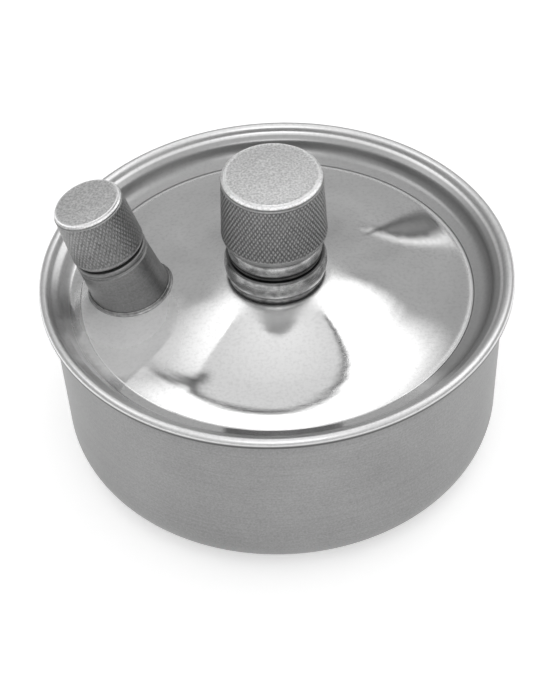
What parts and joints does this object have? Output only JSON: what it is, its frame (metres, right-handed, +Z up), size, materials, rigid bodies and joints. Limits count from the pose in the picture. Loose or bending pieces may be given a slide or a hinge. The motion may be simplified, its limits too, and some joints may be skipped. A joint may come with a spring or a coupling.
{
  "type": "spirit lamp",
  "caption": "Round spun-metal spirit lamp with a bright rolled-rim lid, a middle burner under a knurled screw cap and a leaning side filler under a smaller knurled cap.",
  "frame": {"origin": "middle of the flat floor of the reservoir, on the table", "axes": "+Z up along the reservoir and middle neck axis, -X towards the side filler, -Y towards the viewer"},
  "size_m": [0.09, 0.09, 0.064],
  "materials": {
    "satin_metal": "satin, fine spun grain",
    "bright_metal": "polished plate",
    "knurled_metal": "diamond knurl, dull",
    "brass": "turned",
    "solder": "dull grey solder",
    "packing": "matte",
    "cork": "matte pressed cork",
    "cotton": "braided cotton"
  },
  "bodies": {
    "lamp": {"reservoir_bowl": "satin_metal", "reservoir_lid": "bright_metal", "neck_collar": "bright_metal", "neck_solder": "solder", "filler_neck": "satin_metal", "filler_solder": "solder"},
    "burner_washer": {"neck_washer": "packing"},
    "burner": {"burner_collar": "bright_metal", "burner_disc": "brass", "wick_tube": "brass"},
    "wick_cord": {"wick": "cotton"},
    "middle_liner": {"middle_cap_liner": "cork"},
    "middle_packing": {"middle_cap_packing": "packing"},
    "middle_grip": {"middle_cap": "knurled_metal"},
    "filler_liner": {"filler_cap_liner": "cork"},
    "filler_packing": {"filler_cap_packing": "packing"},
    "filler_grip": {"filler_cap": "knurled_metal"}
  },
  "joints": [
    {"name": "burner_rise", "type": "slide", "parent": "lamp", "child": "burner_washer", "axis": [0, 0, 1], "range_m": [0, 0.0041]},
    {"name": "burner_turn", "type": "hinge", "parent": "burner_washer", "child": "burner", "pos_m": [0, 0, 0.045], "axis": [0, 0, 1], "range_deg": [0, 720]},
    {"name": "wick_feed", "type": "slide", "parent": "burner", "child": "wick_cord", "axis": [0, 0, 1], "range_m": [-0.003, 0.0009]},
    {"name": "middle_cap_lift", "type": "slide", "parent": "burner", "child": "middle_liner", "axis": [0, 0, 1], "range_m": [0, 0.024]},
    {"name": "middle_cap_rise", "type": "slide", "parent": "middle_liner", "child": "middle_packing", "axis": [0, 0, 1], "range_m": [0, 0.0061]},
    {"name": "middle_cap_turn", "type": "hinge", "parent": "middle_packing", "child": "middle_grip", "pos_m": [0, 0, 0.049], "axis": [0, 0, 1], "range_deg": [0, 1080]},
    {"name": "filler_cap_lift", "type": "slide", "parent": "lamp", "child": "filler_liner", "axis": [-0.2908, 0.0306, 0.9563], "range_m": [0, 0.018]},
    {"name": "filler_cap_rise", "type": "slide", "parent": "filler_liner", "child": "filler_packing", "axis": [-0.2908, 0.0306, 0.9563], "range_m": [0, 0.0049]},
    {"name": "filler_cap_turn", "type": "hinge", "parent": "filler_packing", "child": "filler_grip", "pos_m": [-0.02844, 0.00299, 0.03535], "axis": [-0.2908, 0.0306, 0.9563], "range_deg": [0, 1080]}
  ],
  "couplings": [
    {"joint": "burner_rise", "follows": "burner_turn", "m_per_rad": 0.00031831},
    {"joint": "middle_cap_rise", "follows": "middle_cap_turn", "m_per_rad": 0.00031831},
    {"joint": "filler_cap_rise", "follows": "filler_cap_turn", "m_per_rad": 0.00025465}
  ]
}
